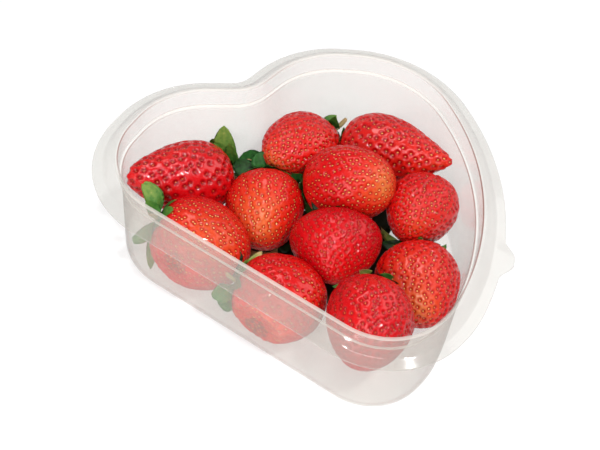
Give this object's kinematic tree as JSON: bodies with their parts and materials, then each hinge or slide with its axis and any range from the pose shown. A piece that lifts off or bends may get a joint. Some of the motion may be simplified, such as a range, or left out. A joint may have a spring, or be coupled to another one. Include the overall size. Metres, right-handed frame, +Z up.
{
  "type": "punnet of strawberries",
  "caption": "Heart-shaped clear tray with a raised rim, a sealing flange and a pull tab, holding a layer of large ripe strawberries.",
  "frame": {"origin": "middle of the base, on the surface it stands on", "axes": "+Z up, +Y towards the notch between the heart's lobes, -Y towards its tip, +X to the lobe beside the pull tab"},
  "size_m": [0.1753, 0.1768, 0.058],
  "materials": {
    "film": "clear, slightly milky thermoformed film",
    "berry": "fresh strawberry flesh, red with a soft gloss",
    "seed": "golden seeds set in the flesh",
    "leaf": "green calyx leaves and stalks"
  },
  "bodies": {
    "root": {"tray": "film", "strawberries": "berry"}
  },
  "joints": []
}
